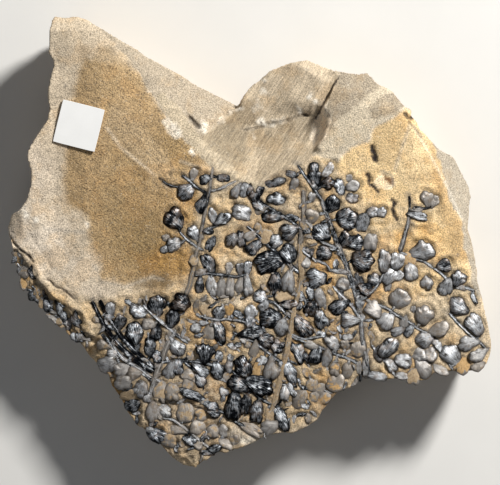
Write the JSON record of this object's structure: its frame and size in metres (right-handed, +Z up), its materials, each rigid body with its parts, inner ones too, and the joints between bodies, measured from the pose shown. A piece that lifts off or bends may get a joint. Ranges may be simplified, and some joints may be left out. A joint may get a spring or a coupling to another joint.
{
  "type": "carboniferous plant fossil",
  "caption": "Irregular siltstone slab that lies flat, with domed carbonised seed-fern fronds on its split bedding face, a scooped conchoidal break beside them and a loose blank card scale square",
  "frame": {"origin": "Centre of the bounding box's base: the slab's flat underside is at z = 0", "axes": "+Z is up, out of the fossil-bearing face. +X is to the picture's right and +Y to its top, seen from straight above"},
  "size_m": [0.1112, 0.1038, 0.0217],
  "materials": {
    "siltstone": "matte",
    "coal_film_left": "satin",
    "coal_film_centre": "satin",
    "coal_film_right": "satin",
    "coal_film_far_right": "satin",
    "coal_film_lower_left": "satin",
    "white_card": "matte"
  },
  "bodies": {
    "root": {"matrix": "siltstone", "frond_left": "coal_film_left", "frond_centre": "coal_film_centre", "frond_right": "coal_film_right", "pinnae_far_right": "coal_film_far_right", "frond_lower_left": "coal_film_lower_left", "scale_square": "white_card"}
  },
  "joints": []
}
